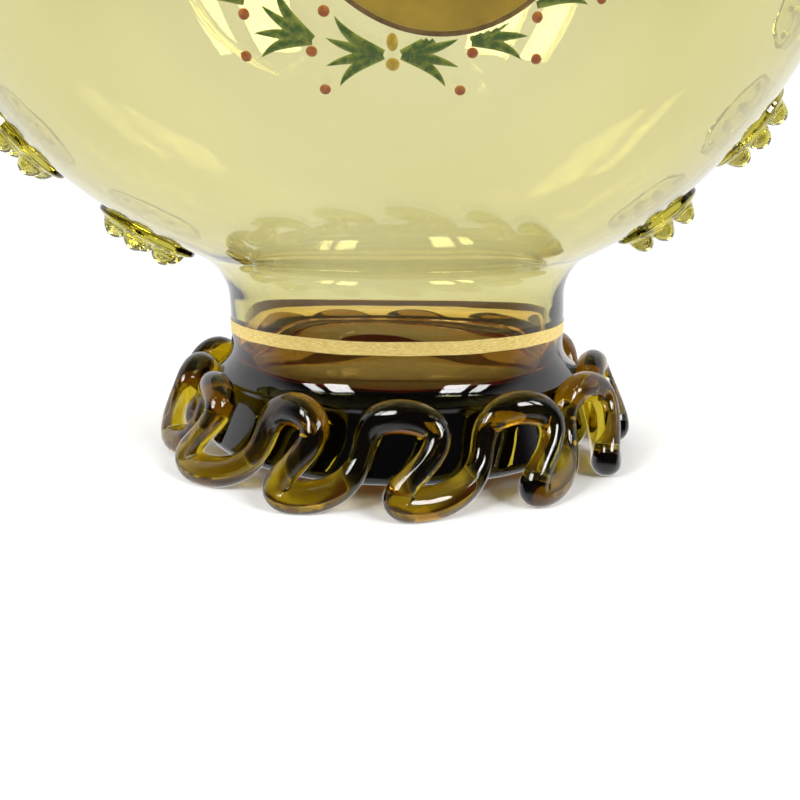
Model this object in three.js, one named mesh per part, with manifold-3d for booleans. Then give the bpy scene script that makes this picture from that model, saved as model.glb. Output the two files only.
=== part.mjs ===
// A blown glass jug with a leaning serpentine foot rope, raspberry prunts, gilt lines and enamel sprays.
// Millimetres, +Z up. The front, with the enamel, faces -Y, the spout -X and the handle +X.

import * as THREE from 'three';
import { mergeVertices } from 'three/addons/utils/BufferGeometryUtils.js';
import Module from 'manifold-3d';

const wasm = await Module();
wasm.setup();

// Gaps kept between applied pieces and what carries them
const clearance = 0.3;
const ropeClearance = 0.6;
const paintGap = 0.2;
const weldLength = 0.02;

// Bowl, waist and neck: outer surface
const waistRadius = 36;
const waistFillet = 10.7;
const bowlRadius = 90;
const bowlArcRadius = 83.2;
const bowlCentreHeight = 118.4;
const shoulderFillet = 16;
const neckRadius = 38;
const neckLength = 34;
const rimRadius = 45;
const rimFlareLength = 20;
const wall = 3;

// The bubble was set a little off the foot's axis, and leans the same way
const bowlOffset = 2.7;
const bowlOffsetLength = 36;
const bowlLean = 0.02;

// Solid base of the bubble, the flare into the foot and the bore, whose wall is thicker
const jointHeight = 21;
const flareLength = 5;
const flarePower = 3.2;
const footWall = 4;
const footWallHeight = 27;
const thinWallHeight = 46;
const boreFloorHeight = 23.5;
const boreCorner = 3.5;

// Spout pulled out of the rim
const spoutReach = 17;
const spoutLift = 4;
const spoutLength = 48;
const spoutHalfAngle = 34;

// Gilt lines
const giltLineHeight = 28.4;
const giltLineWidth = 2.6;
const giltThickness = 0.15;
const rimGiltDrop = 2;
const rimGiltWidth = 2.6;

// Foot rope: where its bends and loops lie, and how thick it is
const ropeBendRadius = 3.2;
const ropeLegRadius = 2.3;
const ropeTopHeight = 17.6;
const ropeTopRing = 43.2;
const ropeLoopRing = 48.2;
const ropeLegBulge = 2.4;
const ropeLean = 0.19;
const ropeCurl = 0.13;
const ropeCurlPhase = -0.3;
const ropeFlat = 0.8;
const ropePress = 0.5;
const frontWaves = [-107, -85, -61, -29, -3, 28, 56, 84];
const backWaves = 5;

// Foot pad
const padUnderHeight = 3.4;
const padEdgeRound = 2.2;
const padDomeHeight = 3.5;

// Prunts: a pressed disc with berries, three down each side
const pruntRadius = 10;
const pruntThickness = 2.6;
const berryRadius = 2.5;
const berryRing = 6;
const berrySink = 1.6;
const berryRise = 0.6;
const outerBerries = 6;
const pruntsEach = 3;
const pruntRows = {
  left: { azimuth: -82, lowest: -58.5, apart: 19.2 },
  right: { azimuth: 86, lowest: -54, apart: 17.6 },
};

// Handle
const handleRadius = 6.4;
const handleReach = 60;
const handleTurn = 18;
const handleTuck = 11;
const handleFootAngle = 26;
const handleTopDrop = 10;
const handleFlat = 0.8;
const handlePadRadius = 11;
const handlePadThickness = 4.5;

// Enamel: an oval medallion with a leaf-and-berry garland under it
const enamelThickness = 0.35;
const garlandAngle = -31;
const garlandAcross = 2.8;
const medallionHalfWidth = 20;
const medallionHalfHeight = 24;
const medallionAcross = 6;
const medallionRise = 4.5;
const medallionLineWidth = 0.7;
const leafLength = 7.8;
const leafWidth = 1.8;
const leafTip = 0.12;
const leafFoot = 0.12;
const leafSteps = 3;
const leafBend = 26;
const sprayLeaves = 4;
const spraySpread = 58;
const berryRadiusInSpray = 0.75;
const berryGap = 1.4;
const berrySpread = 70;
const garlandRadius = 28;
const garlandMiddle = 29.3;
const garlandSprays = [2.5, 21.5, 41.5];
const garlandDotRadius = 0.9;
const garlandDots = [0, 3];

// How finely round stretches are divided
const roundSteps = 48;
const ropeSteps = 16;
const ropeSides = 8;

const radians = THREE.MathUtils.degToRad;

// The side of the bubble in section: arcs that meet smoothly, moved inwards by an inset
const bowlCentre = { r: bowlRadius - bowlArcRadius, z: bowlCentreHeight };
const waistCentre = filletCentre(waistRadius, waistFillet, -1);
const shoulderCentre = filletCentre(neckRadius, shoulderFillet, 1);
const neckTop = shoulderCentre.z + neckLength;
const rimHeight = neckTop + rimFlareLength;

function filletCentre(besideRadius, fillet, side) {
  const r = besideRadius + fillet;
  const reach = bowlArcRadius + fillet;
  return { r, z: bowlCentre.z + side * Math.sqrt(reach ** 2 - (r - bowlCentre.r) ** 2) };
}

function tangentHeight(centre, inset) {
  const distance = Math.hypot(centre.r - bowlCentre.r, centre.z - bowlCentre.z);
  return bowlCentre.z + ((bowlArcRadius - inset) * (centre.z - bowlCentre.z)) / distance;
}

function filletRadiusAt(z, centre, fillet) {
  return centre.r - Math.sqrt(fillet ** 2 - (z - centre.z) ** 2);
}

function sideRadius(z, inset = 0) {
  if (z <= waistCentre.z) return waistRadius - inset;
  if (z < tangentHeight(waistCentre, inset)) return filletRadiusAt(z, waistCentre, waistFillet + inset);
  if (z < tangentHeight(shoulderCentre, inset)) {
    return bowlCentre.r + Math.sqrt((bowlArcRadius - inset) ** 2 - (z - bowlCentre.z) ** 2);
  }
  if (z < shoulderCentre.z) return filletRadiusAt(z, shoulderCentre, shoulderFillet + inset);
  if (z < neckTop) return neckRadius - inset;
  return neckRadius - inset + (rimRadius - neckRadius) * ((z - neckTop) / rimFlareLength) ** 2;
}

// Below the waist the glass flares out to meet the rope's arches
const flareTop = jointHeight + flareLength;

function flareRadius(z) {
  const share = Math.max(0, (flareTop - z) / (flareTop - ropeTopHeight));
  return waistRadius + (padRadius(ropeTopHeight) - waistRadius) * share ** flarePower;
}

// Sideways shift of everything above the gilt line
function leaned(geometry) {
  const start = giltLineHeight + giltLineWidth / 2;
  return moved(geometry, (point) => {
    const share = THREE.MathUtils.smoothstep(point.z, start, start + bowlOffsetLength);
    point.x -= bowlOffset * share + bowlLean * Math.max(0, point.z - start);
  });
}

function spouted(geometry) {
  return moved(geometry, (point) => {
    const share = THREE.MathUtils.smoothstep(point.z, rimHeight - spoutLength, rimHeight) ** 2;
    const away = Math.atan2(point.y, -point.x) / radians(spoutHalfAngle);
    const pull = share * Math.exp(-(away ** 2));
    point.x -= spoutReach * pull;
    point.z += spoutLift * pull;
  });
}

function moved(geometry, change) {
  const position = geometry.attributes.position;
  const point = new THREE.Vector3();
  for (let i = 0; i < position.count; i++) {
    point.fromBufferAttribute(position, i);
    change(point);
    position.setXYZ(i, point.x, point.y, point.z);
  }
  return geometry;
}

// Turned shapes, about the Z axis
function turned(points, steps = roundSteps) {
  const geometry = new THREE.LatheGeometry(points.map(([r, z]) => new THREE.Vector2(r, z)), steps);
  return bare(geometry.rotateX(Math.PI / 2));
}

function bare(geometry) {
  geometry.deleteAttribute('normal');
  geometry.deleteAttribute('uv');
  return mergeVertices(geometry, 1e-4);
}

function sampled(from, to, steps, valueAt) {
  const points = [];
  for (let i = 0; i <= steps; i++) points.push(valueAt(from + ((to - from) * i) / steps));
  return points;
}

// Solids for joining and cutting
function solidOf(geometry) {
  const mesh = new wasm.Mesh({
    numProp: 3,
    vertProperties: new Float32Array(geometry.attributes.position.array),
    triVerts: new Uint32Array(geometry.index.array),
  });
  return new wasm.Manifold(mesh);
}

function geometryOf(solid) {
  const mesh = solid.getMesh();
  const geometry = new THREE.BufferGeometry();
  geometry.setAttribute('position', new THREE.BufferAttribute(new Float32Array(mesh.vertProperties), 3));
  geometry.setIndex(Array.from(mesh.triVerts));
  return geometry;
}

function joined(geometries) {
  return geometries.map(solidOf).reduce((whole, solid) => whole.add(solid));
}

// The bubble: solid base, waist, bowl, neck and spouted rim, open to the inside at the top
const giltBottom = giltLineHeight - giltLineWidth / 2;
const giltTop = giltLineHeight + giltLineWidth / 2;
const rimGiltTop = rimHeight - rimGiltDrop;
const rimGiltBottom = rimGiltTop - rimGiltWidth;

function outerSide(lift = 0) {
  const wide = (z) => [sideRadius(z, -lift), z];
  const bowlFoot = tangentHeight(waistCentre, -lift);
  const bowlHead = tangentHeight(shoulderCentre, -lift);
  return [
    ...sampled(jointHeight, flareTop, 3, (z) => [flareRadius(z) + lift, z]),
    wide(giltBottom),
    wide(giltTop),
    ...sampled(waistCentre.z, bowlFoot, 4, wide),
    ...bowlArc(bowlFoot, bowlHead, 12, -lift),
    ...sampled(bowlHead, shoulderCentre.z, 3, wide).slice(1),
    ...sampled(shoulderCentre.z, rimGiltBottom, 4, wide).slice(1),
    wide(rimGiltTop),
  ];
}

function bowlArc(fromZ, toZ, steps, inset) {
  const radius = bowlArcRadius - inset;
  const angle = (z) => Math.asin((z - bowlCentre.z) / radius);
  return sampled(angle(fromZ), angle(toZ), steps, (turn) => [
    bowlCentre.r + radius * Math.cos(turn),
    bowlCentre.z + radius * Math.sin(turn),
  ]).slice(1);
}

// Inside of the waist, where the wall is thicker than in the bowl
function boreRadius(z) {
  const share = THREE.MathUtils.smoothstep(z, footWallHeight, thinWallHeight);
  return sideRadius(z, THREE.MathUtils.lerp(footWall, wall, share));
}

// From the middle of the bore's floor round its corner, up the waist and inside the bowl and neck
function innerSide() {
  const rise = boreFloorHeight + boreCorner;
  const flat = boreRadius(rise) - boreCorner;
  const corner = sampled(0, Math.PI / 2, 2, (turn) => [
    flat + boreCorner * Math.sin(turn),
    rise - boreCorner * Math.cos(turn),
  ]);
  const bowlFoot = tangentHeight(waistCentre, wall);
  const bowlHead = tangentHeight(shoulderCentre, wall);
  return [
    [0, boreFloorHeight],
    ...corner,
    ...sampled(rise, bowlFoot, 5, (z) => [boreRadius(z), z]).slice(1),
    ...bowlArc(bowlFoot, bowlHead, 10, wall),
    ...sampled(bowlHead, shoulderCentre.z, 3, (z) => [sideRadius(z, wall), z]).slice(1),
    ...sampled(shoulderCentre.z, rimGiltTop, 4, (z) => [sideRadius(z, wall), z]).slice(1),
  ];
}

function lip() {
  const middle = sideRadius(rimHeight) - wall / 2;
  return sampled(0, Math.PI, 4, (turn) => [
    middle + (wall / 2) * Math.cos(turn),
    rimHeight + (wall / 2) * (Math.sin(turn) - 1),
  ]);
}

function bodyGeometry() {
  const profile = [[0, jointHeight], ...outerSide(), ...lip(), ...innerSide().reverse()];
  return leaned(spouted(turned(profile)));
}

// Gilt lines lie round the bubble
function giltLine(fromZ, toZ) {
  const inner = (z) => [sideRadius(z) + paintGap, z];
  const outer = (z) => [sideRadius(z) + paintGap + giltThickness, z];
  return leaned(spouted(turned([inner(fromZ), outer(fromZ), outer(toZ), inner(toZ), inner(fromZ)])));
}

// The foot rope: one closed trail of glass that leans over, curls back and loops out to the ground
const waves = frontWaves.length + backWaves;
const ropeLoopHeight = ropeBendRadius - ropeFlat;

function waveAzimuth(place) {
  const turns = Math.floor(place / waves);
  const wave = place - turns * waves;
  const index = Math.floor(wave);
  return 360 * turns + THREE.MathUtils.lerp(archAzimuth(index), archAzimuth(index + 1), wave - index);
}

function archAzimuth(index) {
  const first = frontWaves[0];
  const last = frontWaves[frontWaves.length - 1];
  if (index < frontWaves.length) return frontWaves[index];
  return last + ((first + 360 - last) * (index - frontWaves.length + 1)) / (backWaves + 1);
}

function ropeRing(up, side) {
  return ropeLoopRing + (ropeTopRing - ropeLoopRing) * up + ropeLegBulge * side;
}

function ropeThickness(cosine) {
  return ropeLegRadius + (ropeBendRadius - ropeLegRadius) * cosine ** 2;
}

class RopePath extends THREE.Curve {
  getPoint(share, target = new THREE.Vector3()) {
    const place = share * waves;
    const turn = 2 * Math.PI * place;
    const shift = ropeCurl * Math.sin(2 * turn + ropeCurlPhase) + ropeLean * Math.cos(turn);
    const azimuth = radians(waveAzimuth(place + shift));
    const up = (1 + Math.cos(turn)) / 2;
    const ring = ropeRing(up, Math.sin(turn));
    const z = ropeLoopHeight + (ropeTopHeight - ropeLoopHeight) * up;
    return target.set(ring * Math.sin(azimuth), -ring * Math.cos(azimuth), z);
  }
}

function ropeGeometry() {
  const path = new RopePath();
  const count = waves * ropeSteps;
  const positions = [];
  const indices = [];
  const before = new THREE.Vector3();
  const after = new THREE.Vector3();
  for (let i = 0; i < count; i++) {
    const share = i / count;
    const centre = path.getPoint(share);
    const tangent = path.getPoint(share + 1e-4, after).clone().sub(path.getPoint(share - 1e-4, before)).normalize();
    const outward = new THREE.Vector3(centre.x, centre.y, 0).normalize();
    const across = new THREE.Vector3().crossVectors(tangent, outward).normalize();
    const over = new THREE.Vector3().crossVectors(across, tangent);
    const radius = ropeThickness(Math.cos(2 * Math.PI * share * waves));
    for (let side = 0; side < ropeSides; side++) {
      const turn = (2 * Math.PI * (side + 0.5)) / ropeSides;
      const point = centre.clone();
      point.addScaledVector(across, radius * Math.cos(turn));
      point.addScaledVector(over, radius * Math.sin(turn));
      positions.push(point.x, point.y, point.z < ropePress ? 0 : point.z);
      const next = (i + 1) % count;
      const beside = (side + 1) % ropeSides;
      const corner = [i * ropeSides + side, i * ropeSides + beside, next * ropeSides + beside, next * ropeSides + side];
      indices.push(corner[0], corner[2], corner[1], corner[0], corner[3], corner[2]);
    }
  }
  const geometry = new THREE.BufferGeometry();
  geometry.setAttribute('position', new THREE.Float32BufferAttribute(positions, 3));
  geometry.setIndex(indices);
  return geometry;
}

// The foot pad: solid, flared, its side kept clear of the rope all the way down
function padRadius(z) {
  const up = THREE.MathUtils.clamp((z - ropeLoopHeight) / (ropeTopHeight - ropeLoopHeight), 0, 1);
  const cosine = 2 * up - 1;
  const innermost = ropeRing(up, -Math.sqrt(1 - cosine ** 2));
  return innermost - ropeThickness(cosine) - ropeClearance;
}

function padGeometry() {
  const sideBottom = padUnderHeight + padEdgeRound;
  const edgeRadius = padRadius(sideBottom) - padEdgeRound;
  const edge = sampled(-Math.PI / 2, 0, 3, (turn) => [
    edgeRadius + padEdgeRound * Math.cos(turn),
    sideBottom + padEdgeRound * Math.sin(turn),
  ]);
  const underside = sampled(0, edgeRadius, 4, (r) => [r, padUnderHeight + padDomeHeight * (1 - (r / edgeRadius) ** 2)]);
  return turned([
    ...underside.slice(0, -1),
    ...edge,
    ...sampled(sideBottom, ropeTopHeight, 5, (z) => [padRadius(z), z]).slice(1),
    ...sampled(ropeTopHeight, jointHeight, 3, (z) => [flareRadius(z), z]).slice(1),
    [0, jointHeight],
  ]);
}

// Places on the outside of the bowl: azimuth from the front, angle above the widest ring, height off it
function onBowl(azimuth, angle, lift) {
  const r = bowlCentre.r + (bowlArcRadius + lift) * Math.cos(angle);
  const z = bowlCentre.z + (bowlArcRadius + lift) * Math.sin(angle);
  return new THREE.Vector3(r * Math.sin(azimuth), -r * Math.cos(azimuth), z);
}

function bowlSolid(lift) {
  return solidOf(turned([[0, jointHeight], ...outerSide(lift), [0, rimGiltTop]]));
}

// A raspberry prunt: a soft-edged disc pressed on the bowl, with one berry in a ring of berries
function pruntGeometry(azimuth, angle) {
  const half = pruntThickness / 2;
  const disc = [[0, -pruntThickness], [pruntRadius - half, -pruntThickness]];
  const rim = sampled(-Math.PI / 2, Math.PI / 2, 2, (turn) => [
    pruntRadius - half + half * Math.cos(turn),
    half + half * Math.sin(turn),
  ]);
  const pieces = [turned([...disc, ...rim, [0, pruntThickness]], 14)];
  for (let berry = 0; berry <= outerBerries; berry++) {
    const turn = (2 * Math.PI * berry) / outerBerries;
    const ring = berry < outerBerries ? berryRing : 0;
    const dome = sampled(0, Math.PI / 2, 2, (rise) => [berryRadius * Math.cos(rise), berryRadius * Math.sin(rise)]);
    const ball = turned([[0, -berrySink], [berryRadius, -berrySink], ...dome], 8);
    pieces.push(ball.translate(ring * Math.cos(turn), ring * Math.sin(turn), pruntThickness + berryRise));
  }
  const seat = onBowl(azimuth, angle, clearance);
  const normal = onBowl(azimuth, angle, 1 + clearance).sub(seat).normalize();
  const facing = new THREE.Quaternion().setFromUnitVectors(new THREE.Vector3(0, 0, 1), normal);
  const place = new THREE.Matrix4().compose(seat, facing, new THREE.Vector3(1, 1, 1));
  const placed = pieces.map((piece) => piece.applyMatrix4(place));
  return leaned(geometryOf(joined(placed).subtract(bowlSolid(clearance))));
}

// The handle: a drawn rod from the neck out and down to the bowl, with a pressed pad at each end
function handleGeometry() {
  const top = new THREE.Vector3(neckRadius, 0, neckTop - handleTopDrop);
  const foot = onBowl(radians(90), radians(handleFootAngle), 0);
  const out = neckRadius + handleReach;
  const high = top.z + handleRadius;
  const path = new THREE.CatmullRomCurve3([
    new THREE.Vector3(top.x - wall, 0, top.z),
    new THREE.Vector3((top.x + out) / 2, 0, high),
    new THREE.Vector3(out, 0, high - handleTurn),
    new THREE.Vector3(out + handleRadius, 0, (top.z + foot.z) / 2),
    new THREE.Vector3(foot.x + handleTuck, 0, foot.z + handleRadius),
    new THREE.Vector3(foot.x - wall, 0, foot.z - wall / 2),
  ]);
  const section = new THREE.Shape();
  section.absellipse(0, 0, handleRadius, handleRadius * handleFlat, 0, 2 * Math.PI);
  const rod = bare(new THREE.ExtrudeGeometry(section, { steps: 24, curveSegments: 5, extrudePath: path }));
  const pads = [
    [top, new THREE.Vector3(1, 0, 0)],
    [foot, onBowl(radians(90), radians(handleFootAngle), 1).sub(foot)],
  ].map(([seat, normal]) => {
    const ball = bare(new THREE.SphereGeometry(1, 14, 8));
    const facing = new THREE.Quaternion().setFromUnitVectors(new THREE.Vector3(0, 0, 1), normal.normalize());
    const size = new THREE.Vector3(handlePadRadius, handlePadRadius, handlePadThickness);
    return ball.applyMatrix4(new THREE.Matrix4().compose(seat, facing, size));
  });
  return leaned(geometryOf(joined([rod, ...pads]).subtract(bowlSolid(clearance))));
}

// Enamel is drawn flat, in millimetres across and up from the middle of the garland, and laid on the bowl
function onFront(across, up, lift) {
  const angle = radians(garlandAngle) + up / bowlArcRadius;
  const ring = bowlCentre.r + bowlArcRadius * Math.cos(angle);
  return onBowl((garlandAcross + across) / ring, angle, lift);
}

// A closed slab over a grid of flat places in rows of equal length; in an endless one the last row is the first
const enamelLifts = [paintGap, paintGap + enamelThickness];
const dotCut = 0.2;
const ovalCut = 0.07;

function enamelSlab(rows, endless = false, lifts = enamelLifts) {
  const width = rows[0].length;
  const positions = [];
  for (const lift of lifts) {
    for (const row of rows) {
      for (const [across, up] of row) positions.push(...onFront(across, up, lift).toArray());
    }
  }
  const layer = rows.length * width;
  const indices = [];
  const quad = (a, b, c, d) => indices.push(a, c, b, a, d, c);
  for (let j = 0; j + 1 < rows.length; j++) {
    for (let i = 0; i + 1 < width; i++) {
      const a = j * width + i;
      quad(a, a + width, a + width + 1, a + 1);
      quad(layer + a, layer + a + 1, layer + a + width + 1, layer + a + width);
    }
    const left = j * width;
    const right = left + width - 1;
    quad(left, layer + left, layer + left + width, left + width);
    quad(right, right + width, layer + right + width, layer + right);
  }
  for (let i = 0; !endless && i + 1 < width; i++) {
    const end = layer - width + i;
    quad(i, i + 1, layer + i + 1, layer + i);
    quad(end, layer + end, layer + end + 1, end + 1);
  }
  const geometry = new THREE.BufferGeometry();
  geometry.setAttribute('position', new THREE.Float32BufferAttribute(positions, 3));
  geometry.setIndex(indices);
  return geometry;
}

// A leaf: a slab along a bending spine, narrow at its foot and pointed at its tip
function leafSlab(across, up, heading, bend) {
  const rows = [];
  let x = across;
  let y = up;
  for (let i = 0; i <= leafSteps; i++) {
    const share = i / leafSteps;
    const turn = radians(heading + bend * share);
    const half = leafTip + (leafWidth / 2 - leafTip) * Math.sin(Math.PI * (leafFoot + (1 - leafFoot) * share));
    rows.push([
      [x + half * Math.sin(turn), y - half * Math.cos(turn)],
      [x - half * Math.sin(turn), y + half * Math.cos(turn)],
    ]);
    x += (leafLength / leafSteps) * Math.cos(turn);
    y += (leafLength / leafSteps) * Math.sin(turn);
  }
  return enamelSlab(rows);
}

function dotSlab(across, up, radius) {
  const rows = sampled(dotCut, Math.PI - dotCut, 3, (turn) => {
    const half = radius * Math.sin(turn);
    const y = up - radius * Math.cos(turn);
    return [[across + half, y], [across - half, y]];
  });
  return enamelSlab(rows);
}

// Sprays lie along an arc under the medallion, mirrored left and right
function sprays() {
  return [-1, 1].flatMap((side) => garlandSprays.map((turn) => {
    const angle = radians(turn);
    const across = side * garlandRadius * Math.sin(angle);
    const up = garlandMiddle - garlandRadius * Math.cos(angle);
    return { across, up, heading: side > 0 ? turn : 180 - turn, side };
  }));
}

function sprayGeometry({ across, up, heading, side }) {
  const leaves = sampled(-0.5, 0.5, sprayLeaves - 1, (share) => (
    leafSlab(across, up, heading + side * spraySpread * share, side * leafBend * share)
  ));
  const cut = ovalSlab(medallionLineWidth + paintGap + clearance, [-enamelThickness, 3 * enamelThickness]);
  const visible = joined(leaves).subtract(solidOf(cut));
  const pieces = visible.decompose().sort((one, other) => other.volume() - one.volume());
  return leaned(welded(geometryOf(pieces[0])));
}

// Corners closer together than the weld length become one, and slivers between them go
function welded(geometry) {
  const merged = mergeVertices(geometry, weldLength);
  const kept = [];
  for (let i = 0; i < merged.index.count; i += 3) {
    const corners = [0, 1, 2].map((k) => merged.index.getX(i + k));
    if (new Set(corners).size === 3) kept.push(...corners);
  }
  merged.setIndex(kept);
  return merged;
}

function berryPlaces({ across, up, heading, side }) {
  const reach = leafLength + berryGap;
  const places = sampled(-0.5, 0.5, 2, (share) => {
    const turn = radians(heading + side * berrySpread * share);
    return { x: across + reach * Math.cos(turn), y: up + reach * Math.sin(turn) };
  });
  return places.filter(clearOfMedallion);
}

function clearOfMedallion({ x, y }) {
  const margin = medallionLineWidth + 2 * berryRadiusInSpray;
  const across = (x - medallionAcross) / (medallionHalfWidth + margin);
  const up = (y - medallionRise - medallionHalfHeight) / (medallionHalfHeight + margin);
  return across ** 2 + up ** 2 > 1;
}

function dotGeometry(rise) {
  return leaned(dotSlab(0, rise, garlandDotRadius));
}

function ovalPlace(turn, grow) {
  return [
    medallionAcross + (medallionHalfWidth + grow) * Math.cos(turn),
    medallionRise + medallionHalfHeight + (medallionHalfHeight + grow) * Math.sin(turn),
  ];
}

function ovalSlab(grow, lifts) {
  const rows = sampled(ovalCut - Math.PI / 2, Math.PI / 2 - ovalCut, 14, (turn) => {
    const half = (medallionHalfWidth + grow) * Math.cos(turn);
    const up = medallionRise + medallionHalfHeight + (medallionHalfHeight + grow) * Math.sin(turn);
    return sampled(half, -half, 5, (across) => [medallionAcross + across, up]);
  });
  return enamelSlab(rows, false, lifts);
}

function medallionLineGeometry() {
  const rows = sampled(0, 2 * Math.PI, 32, (turn) => [
    ovalPlace(turn, paintGap + medallionLineWidth),
    ovalPlace(turn, paintGap),
  ]);
  return leaned(mergeVertices(enamelSlab(rows, true), 1e-4));
}

// Finishes
function glass(color) {
  return new THREE.MeshStandardMaterial({ color, roughness: 0.05, metalness: 0 });
}

function enamel(color) {
  return new THREE.MeshStandardMaterial({ color, roughness: 0.45, metalness: 0 });
}

function gilding() {
  return new THREE.MeshStandardMaterial({ color: 0xd9b25c, roughness: 0.35, metalness: 1 });
}

// The assembly
const group = new THREE.Group();

function add(name, geometry, material) {
  const mesh = new THREE.Mesh(geometry, material);
  mesh.name = name;
  group.add(mesh);
}

add('body', bodyGeometry(), glass(0xdedca4));
add('foot_gilt_line', giltLine(giltBottom, giltTop), gilding());
add('rim_gilt_line', giltLine(rimGiltBottom, rimGiltTop), gilding());
add('foot_pad', padGeometry(), glass(0x3a1d08));
add('foot_rope', ropeGeometry(), glass(0x8a7418));
add('handle', handleGeometry(), glass(0xb5a845));
for (const [side, { azimuth, lowest, apart }] of Object.entries(pruntRows)) {
  for (let i = 0; i < pruntsEach; i++) {
    const geometry = pruntGeometry(radians(azimuth), radians(lowest + apart * i));
    add(`prunt_${side}_${i + 1}`, geometry, glass(0xc4bb3c));
  }
}
sprays().forEach((spray, i) => {
  add(`leaf_spray_${i + 1}`, sprayGeometry(spray), enamel(0x3f7038));
  berryPlaces(spray).forEach(({ x, y }, j) => {
    add(`berry_${i + 1}_${j + 1}`, leaned(dotSlab(x, y, berryRadiusInSpray)), enamel(0xb0562f));
  });
});
garlandDots.forEach((rise, i) => {
  add(`garland_dot_${i + 1}`, dotGeometry(rise), enamel(0xd8b64a));
});
add('medallion', leaned(ovalSlab(0)), enamel(0xc89a2c));
add('medallion_line', medallionLineGeometry(), enamel(0x6b4a34));

// The origin is the middle of the box's bottom face
const box = new THREE.Box3().setFromObject(group);
const centre = box.getCenter(new THREE.Vector3());
group.position.set(-centre.x, -centre.y, -box.min.z);
group.updateMatrixWorld(true);

export default group;
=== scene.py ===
import math

import bpy
import numpy as np
from mathutils import Matrix, Vector


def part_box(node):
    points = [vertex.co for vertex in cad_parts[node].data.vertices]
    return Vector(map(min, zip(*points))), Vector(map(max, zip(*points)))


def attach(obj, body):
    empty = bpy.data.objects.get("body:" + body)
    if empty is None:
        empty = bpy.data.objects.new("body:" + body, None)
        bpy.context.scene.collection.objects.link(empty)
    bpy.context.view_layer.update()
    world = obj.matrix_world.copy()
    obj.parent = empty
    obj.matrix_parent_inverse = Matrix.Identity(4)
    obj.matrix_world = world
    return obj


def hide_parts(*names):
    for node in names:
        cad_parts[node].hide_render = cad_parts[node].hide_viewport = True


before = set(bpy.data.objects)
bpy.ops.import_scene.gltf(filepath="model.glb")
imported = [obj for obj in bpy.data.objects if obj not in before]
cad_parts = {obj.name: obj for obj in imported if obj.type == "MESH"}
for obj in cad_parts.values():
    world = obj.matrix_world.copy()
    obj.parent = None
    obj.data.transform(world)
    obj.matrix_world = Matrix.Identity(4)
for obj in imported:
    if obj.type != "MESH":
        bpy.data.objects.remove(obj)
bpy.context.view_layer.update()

MM = 0.001
pad_low, pad_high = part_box("foot_pad")
AXIS = np.array([(pad_low.x + pad_high.x) / 2, (pad_low.y + pad_high.y) / 2, 0]) / MM
TINY = 1e-6
FIRST_RING = 1

# Bowl, waist and neck: outer surface, the wall inside it, and a slight shrink into the solid's own box
WAIST_RADIUS = 36
WAIST_FILLET = 10.7
BOWL_RADIUS = 90
BOWL_ARC = 83.2
BOWL_CENTRE_Z = 118.4
SHOULDER_FILLET = 16
NECK_RADIUS = 38
NECK_LENGTH = 34
RIM_RADIUS = 45
RIM_FLARE = 20
WALL = 2
BOWL_SHRINK = 0.9994

# Lean of the bubble on its foot
BOWL_OFFSET = 2.7
BOWL_OFFSET_LENGTH = 36
BOWL_LEAN = 0.02

# Foot end of the bubble: closed, in a cup of dark amber glass with its rim under the gilt line
JOINT_Z = 27.5
JOINT_GAP = 0.01
CUP_FLOOR_Z = 17.7
CUP_RADIUS = 33.4
FOOT_WALL = 2.8
FOOT_WALL_Z = 24
THIN_WALL_Z = 40
BORE_FLOOR_Z = 18.3
BORE_CORNER = 2

# Flare from the waist down to the pad
FLARE_TOP_Z = 26
FLARE_POWER = 3.2

# Spout
SPOUT_REACH = 17
SPOUT_LIFT = 4
SPOUT_LENGTH = 48
SPOUT_HALF_ANGLE = 34

# Slow waves of hand-worked glass, which fade out to the foot and under the rim
WAVE_COUNT = 7
WAVES_ROUND = (1, 7)
WAVE_EVEN_OUT = 4
BOWL_WAVE_SEED = 3
BOWL_WAVE_LENGTH = 60
BOWL_WAVE_DEPTH = 0.22
WAVE_START_Z = 34
WAVE_END_DROPS = (30, 8)

# Gilt lines
GILT_Z = 28.4
GILT_WIDTH = 2.6
GILT_SETTLE = 1.4
GILT_THICKNESS = 0.08
GILT_UNEVEN = 0.07
GILT_UNEVEN_TURNS = 3
GILT_UNEVEN_LENGTH = 40
GILT_SECTION = [(0, 0), (0, 1), (0.5, 1), (1, 1), (1, 0), (0.5, 0)]
GILT_SEEDS = {"foot": 11, "rim": 23}
RIM_GILT_DROP = 2
PAINT_LIFT = 0.02

# Foot rope: its loops would sink a little into the ground, and are flat there
ROPE_BEND = 3.2
ROPE_LEG = 2.3
ROPE_FLAT = 0.8
ROPE_LOW_Z = ROPE_BEND - ROPE_FLAT
ROPE_TOP_Z = 17.6
ROPE_TOP_RING = 43.2
ROPE_LOOP_RING = 48.2
ROPE_BULGE = 2.4
ROPE_LEAN = 0.19
ROPE_CURL = 0.13
ROPE_CURL_PHASE = -0.3
ROPE_UNEVEN = 0.025
ROPE_UNEVEN_TURNS = (0.37, 1.3)
ROPE_UNEVEN_PHASE = 1
ROPE_GAP = 0.25
FRONT_WAVES = [-107, -85, -61, -29, -3, 28, 56, 84]
BACK_WAVES = 5
ROPE_WAVES = len(FRONT_WAVES) + BACK_WAVES
SLOPE_STEP = 1e-3

# Foot pad
PAD_UNDER_Z = 3.4
PAD_EDGE = 2.2
PAD_DOME = 3.5

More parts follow.
